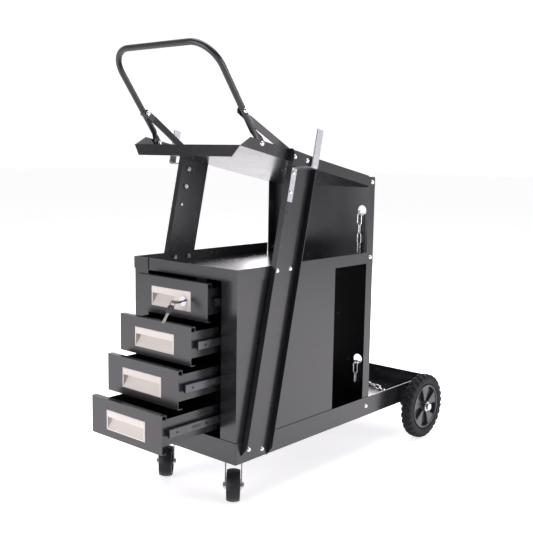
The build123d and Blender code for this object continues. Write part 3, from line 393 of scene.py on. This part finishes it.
@dataclass
class BlockTyre:
    """A solid tyre with staggered tread blocks and ringed side walls."""

    side: str
    material: bpy.types.Material
    blocks: int = 28
    around: int = 360
    across: int = 64
    tread_depth: float = 4.0 * MM
    squareness: float = 3.0
    centre: Vector = field(init=False)
    half_width: float = field(init=False)
    outer: float = field(init=False)
    inner: float = field(init=False)

    def __post_init__(self) -> None:
        """Takes the tyre's size from its node and the wheel centre's."""
        low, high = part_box(f"rear_tyre_{self.side}")
        rim_low, rim_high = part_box(f"rear_rim_{self.side}")
        self.centre = (Vector(low) + Vector(high)) / 2
        self.half_width = (high[1] - low[1]) / 2
        self.outer = (high[2] - low[2]) / 2
        self.inner = (rim_high[2] - rim_low[2]) / 2

    def points(self) -> np.ndarray:
        """The tyre's surface.

        The section is a superellipse |y/b|^n + |(r-c)/a|^n = 1 round the middle radius c. The tread
        cuts it inwards where |y - zigzag| is small, a wave round the middle, and where the saw of the
        turn, shifted half a block from one side to the other, lies in a groove. Two rings dent the
        side walls.
        """
        turn = np.linspace(0, 2 * math.pi, self.around, endpoint=False)[:, None]
        phase = np.linspace(0, 2 * math.pi, self.across, endpoint=False)[None, :]
        middle = (self.inner + self.outer) / 2
        reach = (self.outer - self.inner) / 2
        power = 2.0 / self.squareness
        sine, cosine = np.sin(phase), np.cos(phase)
        wide = self.half_width * np.sign(cosine) * np.abs(cosine) ** power
        radius = middle + reach * np.sign(sine) * np.abs(sine) ** power
        saw = self.blocks * turn / (2 * math.pi)
        zigzag = 0.16 * self.half_width * np.sin(2 * math.pi * saw)
        ring_groove = 1.0 - smoothstep(np.abs(wide - zigzag), 0.6 * MM, 1.6 * MM)
        stagger = np.where(wide > 0, 0.0, 0.5)
        slant = 0.25 * np.abs(wide) / self.half_width
        local = np.abs(((saw + stagger + slant) % 1.0) - 0.5) * 2.0
        off_middle = smoothstep(np.abs(wide), 0.1 * self.half_width, 0.3 * self.half_width)
        cross_groove = smoothstep(local, 0.5, 0.66) * off_middle
        crown = smoothstep(radius + 0 * turn, self.outer - 11 * MM, self.outer - 8 * MM)
        cut = np.maximum(ring_groove, cross_groove) * crown * self.tread_depth
        from_rim = radius - self.inner
        rings = np.exp(-((from_rim - 5.5 * MM) / (0.8 * MM)) ** 2)
        rings = rings + np.exp(-((from_rim - 17 * MM) / (0.7 * MM)) ** 2)
        wall = np.sign(cosine) * rings * 0.7 * MM * smoothstep(np.abs(cosine), 0.2, 0.5)
        radius = radius - cut
        wide = wide - wall + 0 * turn
        x = self.centre.x + radius * np.sin(turn)
        z = self.centre.z + radius * np.cos(turn)
        y = self.centre.y + wide + 0 * turn
        return np.stack([x, y, z], axis=-1)

    def build(self) -> bpy.types.Object:
        """Makes the tyre, which stands for its CAD node."""
        quads = closed_grid(self.around, self.across, True)
        piece = make_piece(f"block_tyre_{self.side}", self.points(), quads, self.material, 50.0)
        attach(piece, f"rear_wheel_{self.side}")
        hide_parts(f"rear_tyre_{self.side}")
        return piece


@dataclass
class SpokedRim:
    """A rim with a raised lip, wide spokes that part from the hub, and closed pockets between them."""

    side: str
    material: bpy.types.Material
    spokes: int = 5
    around: int = 360
    pocket: float = 9.5 * MM
    web: float = 1.2 * MM
    spoke_share: float = 0.44

    def points(self) -> np.ndarray:
        """The rim's surface, mirrored about its middle.

        From the bore outwards the half width is the hub's, then a dish that sinks to the barrel,
        then the lip's. Between the spokes the dish sinks by the pocket's depth, where the cosine
        of the turn times the number of spokes falls below the spokes' share.
        """
        low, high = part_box(f"rear_rim_{self.side}")
        axle_low, axle_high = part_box("rear_axle")
        centre = (Vector(low) + Vector(high)) / 2
        outer = (high[2] - low[2]) / 2
        bore = (axle_high[2] - axle_low[2]) / 2 + 0.15 * MM
        widest = (high[1] - low[1]) / 2
        hub = bore + 9 * MM
        lip = outer - 4 * MM
        barrel_width = min(widest, 14 * MM)
        radius = np.concatenate([
            [bore], np.linspace(bore + 0.6 * MM, hub - 0.6 * MM, 4), np.linspace(hub, lip, 40),
            [lip + 0.6 * MM, lip + 1.6 * MM, outer - 0.6 * MM, outer],
        ])
        along = (radius - hub) / (lip - hub)
        dish = 10.5 * MM + 1.5 * MM * np.clip(along, 0, 1) ** 2
        width = np.where(radius < hub - 0.1 * MM, widest, dish)
        width = np.where(radius > lip + 0.1 * MM, barrel_width, width)
        width[-1] -= 0.6 * MM
        width[0] -= 0.6 * MM
        turn = np.linspace(0, 2 * math.pi, self.around, endpoint=False)[:, None]
        wave = np.cos(self.spokes * turn)
        edge = 1 - 2 * self.spoke_share + 0.5 * (0.5 - np.clip(along, 0, 1))[None, :]
        between = 1 - smoothstep(wave, edge - 0.12, edge + 0.12)
        inside = smoothstep(radius, hub + 0.5 * MM, hub + 2.5 * MM)
        inside = inside * (1 - smoothstep(radius, lip - 3 * MM, lip - 1 * MM))
        width = np.maximum(width[None, :] - self.pocket * between * inside[None, :], self.web)
        radius = radius[None, :] + 0 * turn
        loop_radius = np.concatenate([radius, radius[:, ::-1]], axis=1)
        loop_width = np.concatenate([width, -width[:, ::-1]], axis=1)
        x = centre.x + loop_radius * np.sin(turn)
        z = centre.z + loop_radius * np.cos(turn)
        return np.stack([x, centre.y + loop_width, z], axis=-1)

    def build(self) -> bpy.types.Object:
        """Makes the rim, which stands for its CAD node."""
        points = self.points()
        quads = closed_grid(points.shape[0], points.shape[1], True)
        piece = make_piece(f"spoked_rim_{self.side}", points, quads, self.material, 38.0)
        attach(piece, f"rear_wheel_{self.side}")
        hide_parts(f"rear_rim_{self.side}")
        return piece


@dataclass
class FingerPull:
    """A moulded pull: soft bezel, convex band and a wedge recess under it."""

    number: int
    material: bpy.types.Material
    frame_width: float = 4.0 * MM
    band: float = 15.5 * MM
    recess: float = 14.2 * MM
    wall: float = 1.5 * MM
    bezel: float = 1.6 * MM
    rim_radius: float = 1.4 * MM
    locked_width: float = 72.0 * MM
    low: Vector = field(init=False)
    high: Vector = field(init=False)

    def __post_init__(self) -> None:
        """Takes the pull's size from its node."""
        low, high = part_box(f"drawer_pull_{self.number}")
        self.low, self.high = Vector(low), Vector(high)

    def lines(self, low: float, high: float, steps: Sequence[float], count: int) -> np.ndarray:
        """Even grid lines from low to high, with a close pair at every step and at both ends."""
        close = 0.12 * MM
        pairs = np.concatenate([[step - close, step + close] for step in steps])
        curl = np.array([0, 0.3, 0.8, 1.4]) * MM
        ends = np.concatenate([low + curl, high - curl])
        even = np.linspace(low, high, count)
        keep = np.abs(even[:, None] - np.concatenate([pairs, ends])[None, :]).min(axis=1) > 0.5 * MM
        return np.unique(np.concatenate([even[keep], pairs, ends]))

    def points(self) -> tuple[np.ndarray, int, int]:
        """The pull's two faces as grids over y and z.

        The front stands out by the bezel, less a quarter circle at the rim. The band above the recess
        bulges as 1 - t^2. In the recess the depth grows in a straight line from the lower frame to
        the band's lower edge. The back follows the front, one wall behind.
        """
        left = self.low.y + self.frame_width
        right = self.high.y - self.frame_width
        if self.number == 1:
            left = right - self.locked_width
        sill = self.low.z + self.frame_width
        edge = self.high.z - self.band
        across = self.lines(self.low.y, self.high.y, [left, right], 60)
        upward = self.lines(self.low.z, self.high.z, [sill, edge], 26)
        y, z = np.meshgrid(across, upward, indexing="ij")
        to_rim = np.minimum.reduce([y - self.low.y, self.high.y - y, z - self.low.z, self.high.z - z])
        curl = np.clip(1 - to_rim / self.rim_radius, 0, 1)
        rim_drop = self.rim_radius * (1 - np.sqrt(np.clip(1 - curl ** 2, 0, 1)))
        t = np.clip((z - (edge + self.high.z) / 2) / (self.band / 2), -1, 1)
        bulge = np.where((z > edge) & (y > left) & (y < right), 0.5 * MM * (t ** 2), 0.25 * MM)
        inside = (y > left) & (y < right) & (z > sill) & (z < edge)
        depth = np.where(inside, 0.8 * MM + self.recess * (z - sill) / (edge - sill), 0.0)
        front = self.low.x + rim_drop + bulge + depth
        back = np.maximum(front + self.wall, self.low.x + self.bezel)
        border = to_rim < 0.05 * MM
        back = np.where(border, self.low.x + self.bezel, back)
        grids = np.stack([np.stack([front, y, z], axis=-1), np.stack([back, y, z], axis=-1)])
        return grids, len(across), len(upward)

    def build(self) -> bpy.types.Object:
        """Makes the pull, which stands for its CAD node."""
        grids, columns, rows = self.points()
        i, k = np.meshgrid(np.arange(columns - 1), np.arange(rows - 1), indexing="ij")
        first = (i * rows + k).ravel()
        front = np.stack([first, first + 1, first + rows + 1, first + rows], axis=-1)
        size = columns * rows
        back = front[:, ::-1] + size
        border = np.concatenate([
            np.arange(columns) * rows,
            (columns - 1) * rows + np.arange(1, rows),
            np.arange(columns - 2, -1, -1) * rows + rows - 1,
            np.arange(rows - 2, 0, -1),
        ])
        after = np.roll(border, -1)
        sides = np.stack([border, after, after + size, border + size], axis=-1)
        quads = np.concatenate([front, back, sides])
        piece = make_piece(f"finger_pull_{self.number}", grids, quads, self.material, 35.0)
        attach(piece, f"drawer_{self.number}")
        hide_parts(f"drawer_pull_{self.number}")
        return piece


@dataclass
class Wardrobe:
    """The cart's finishes by the record's material slots."""

    record: Mapping[str, Any]
    nodes: Mapping[str, bpy.types.Object]
    black: tuple[float, float, float] = (0.0095, 0.009, 0.0105)
    zinc: tuple[float, float, float] = (0.72, 0.72, 0.74)
    materials: dict[str, bpy.types.Material] = field(default_factory=dict)

    def cut(self) -> None:
        """Builds every finish once."""
        finishes = {
            "cart_coat": PowderCoat("black_coat", self.black),
            "drawer_coat": PowderCoat("black_drawer_coat", shade(self.black, 1.05)),
            "handle_coat": PowderCoat("black_tube_coat", self.black, 0.34, 1.45),
            "pull_plastic": MouldedPlastic("beige_plastic", (0.50, 0.465, 0.425)),
            "hook_zinc": PlatedSteel("zinc_strap", (0.40, 0.40, 0.42), 0.36),
            "bolt_zinc": PlatedSteel("zinc_bolt", self.zinc, 0.22),
            "slide_steel": PlatedSteel("slide_black", (0.10, 0.10, 0.105), 0.28, 0.1),
            "lever_plastic": MouldedPlastic("black_plastic", (0.02, 0.02, 0.021)),
            "lock_chrome": PlatedSteel("lock_chrome", (0.52, 0.52, 0.54), 0.14, 0.04),
            "lock_steel": PlatedSteel("lock_steel", self.zinc, 0.33),
            "key_black": MouldedPlastic("key_coat", (0.045, 0.045, 0.05), 0.3),
            "key_steel": KeyMetal("key_metal", self.key_split()),
            "axle_steel": PlatedSteel("axle_steel", self.zinc, 0.3),
            "cap_chrome": PlatedSteel("cap_chrome", (0.85, 0.85, 0.87), 0.12, 0.05),
            "tyre_rubber": Rubber("tyre_rubber", (0.006, 0.006, 0.0075)),
            "rim_coat": PowderCoat("rim_coat", (0.012, 0.012, 0.014), 0.3),
            "caster_zinc": PlatedSteel("caster_zinc", self.zinc, 0.27),
            "caster_rubber": Rubber("caster_rubber", (0.011, 0.011, 0.012), 0.42),
            "chain_zinc": PlatedSteel("chain_zinc", shade(self.zinc, 1.05), 0.24),
        }
        self.materials = {slot: finish.material() for slot, finish in finishes.items()}

    def key_split(self) -> float:
        """The height where the spare key's head ends, 45 parts in 100 down from its top."""
        low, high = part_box("spare_key")
        return high[2] - 0.45 * (high[2] - low[2])

    def dress(self) -> None:
        """Puts each finish on the nodes of its slot."""
        for part in self.record["subparts"]:
            node = self.nodes[part["node"]]
            node.data.materials.clear()
            node.data.materials.append(self.materials[part["material_slot"]])
            LOG.info("%s wears %s", part["node"], part["material_slot"])


@dataclass
class Studio:
    """A pale floor, soft light from the sides and above, and the camera."""

    eye: tuple[float, float, float] = (-1.6264, -1.3860, 0.7832)
    yaw: float = -48.933
    pitch: float = -7.639
    roll: float = 0.868
    view_width: float = 533.0 / 846.0
    floor_half: float = 30.0
    floor_glow: float = 0.6
    lamp_colour: tuple[float, float, float] = (1.0, 0.965, 1.03)
    backdrop_side: tuple[float, float, float] = (0.754, 0.657, 0.0)
    dim_from: float = -0.1
    bright_from: float = 0.65
    dim: float = 0.12
    bright: float = 1.05

    def aim(self) -> Matrix:
        """The camera's turn: its forward from yaw and pitch, its right turned by the roll."""
        yaw, pitch, roll = (math.radians(a) for a in (self.yaw, self.pitch, self.roll))
        forward = Vector((-math.sin(yaw) * math.cos(pitch), math.cos(yaw) * math.cos(pitch), math.sin(pitch)))
        level = forward.cross(Vector((0, 0, 1))).normalized()
        above = level.cross(forward)
        right = math.cos(roll) * level + math.sin(roll) * above
        up = -math.sin(roll) * level + math.cos(roll) * above
        return Matrix((right, up, -forward)).transposed().to_4x4()

    def camera(self) -> None:
        """Makes the camera."""
        data = bpy.data.cameras.new("camera")
        data.sensor_width = 36.0
        data.lens = data.sensor_width / self.view_width
        camera = bpy.data.objects.new("camera", data)
        camera.matrix_world = Matrix.Translation(self.eye) @ self.aim()
        bpy.context.scene.collection.objects.link(camera)
        bpy.context.scene.camera = camera

    def floor(self) -> None:
        """Makes the floor, a plain square."""
        half = self.floor_half
        corners = np.array([(-half, -half, 0), (half, -half, 0), (half, half, 0), (-half, half, 0)])
        sheet = NodeSheet("pale_floor")
        sheet.set(
            Base_Color=sheet.mix(sheet.noise(2.0), (0.80, 0.80, 0.80), (0.82, 0.82, 0.82)),
            Emission_Color=(1.0, 0.99, 1.0, 1.0),
            Emission_Strength=self.floor_glow,
            Roughness=0.9,
        )
        floor = make_piece("floor", corners, np.array([[0, 1, 2, 3]]), sheet.material)

    def lamp(self, name: str, place: Sequence[float], target: Sequence[float], width: float,
             height: float, power: float) -> None:
        """Adds a soft box.

        Args:
            name: its name.
            place: where it stands.
            target: what it faces.
            width: its width in metres.
            height: its height in metres.
            power: its power in watts.
        """
        data = bpy.data.lights.new(name, "AREA")
        data.shape = "RECTANGLE"
        data.energy = power
        data.color = self.lamp_colour
        data.size = width
        data.size_y = height
        lamp = bpy.data.objects.new(name, data)
        lamp.location = place
        lamp.rotation_euler = (Vector(target) - Vector(place)).to_track_quat("-Z", "Y").to_euler()
        bpy.context.scene.collection.objects.link(lamp)

    def light(self) -> None:
        """Makes the backdrop, bright behind the cart and dim on the near side, and the soft boxes."""
        world = bpy.data.worlds.new("studio")
        world.use_nodes = True
        nodes, links = world.node_tree.nodes, world.node_tree.links
        backdrop = nodes["Background"]
        backdrop.inputs[0].default_value = (1.0, 0.985, 1.0, 1.0)
        place = nodes.new("ShaderNodeTexCoord").outputs["Generated"]
        toward = nodes.new("ShaderNodeVectorMath")
        toward.operation = "DOT_PRODUCT"
        toward.inputs[1].default_value = tuple(self.backdrop_side)
        fade = nodes.new("ShaderNodeMapRange")
        fade.interpolation_type = "SMOOTHSTEP"
        for number, value in enumerate((self.dim_from, self.bright_from, self.dim, self.bright), start=1):
            fade.inputs[number].default_value = value
        links.new(place, toward.inputs[0])
        links.new(toward.outputs["Value"], fade.inputs[0])
        links.new(fade.outputs[0], backdrop.inputs[1])
        bpy.context.scene.world = world
        self.lamp("front_box", (-3.2, 0.5, 1.0), (-0.3, 0.0, 0.4), 2.6, 1.6, 82.0)
        self.lamp("side_box", (0.9, -3.3, 1.0), (0.1, 0.0, 0.4), 2.6, 1.6, 88.0)
        self.lamp("top_box", (0.3, 0.2, 3.6), (0.0, 0.0, 0.0), 3.0, 3.0, 110.0)
        self.lamp("back_box", (3.2, 1.6, 1.4), (0.2, 0.0, 0.4), 2.2, 1.6, 60.0)
        bpy.context.scene.view_settings.view_transform = "Standard"

    def build(self) -> None:
        """Builds floor, light and camera."""
        self.floor()
        self.light()
        self.camera()


def main() -> None:
    """Dresses the frame, adds the new pieces and sets the studio."""
    logging.basicConfig(level=logging.INFO, format="%(name)s: %(message)s")
    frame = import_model()
    wardrobe = Wardrobe(frame["record"], frame["nodes"])
    wardrobe.cut()
    wardrobe.dress()
    pieces = [BlockTyre(side, wardrobe.materials["tyre_rubber"]).build() for side in ("right", "left")]
    pieces += [SpokedRim(side, wardrobe.materials["rim_coat"]).build() for side in ("right", "left")]
    pieces += [FingerPull(number, wardrobe.materials["pull_plastic"]).build() for number in range(1, 5)]
    for piece in pieces:
        LOG.info("%s has %d faces", piece.name, len(piece.data.polygons))
    Studio().build()


if __name__ == "__main__":
    main()
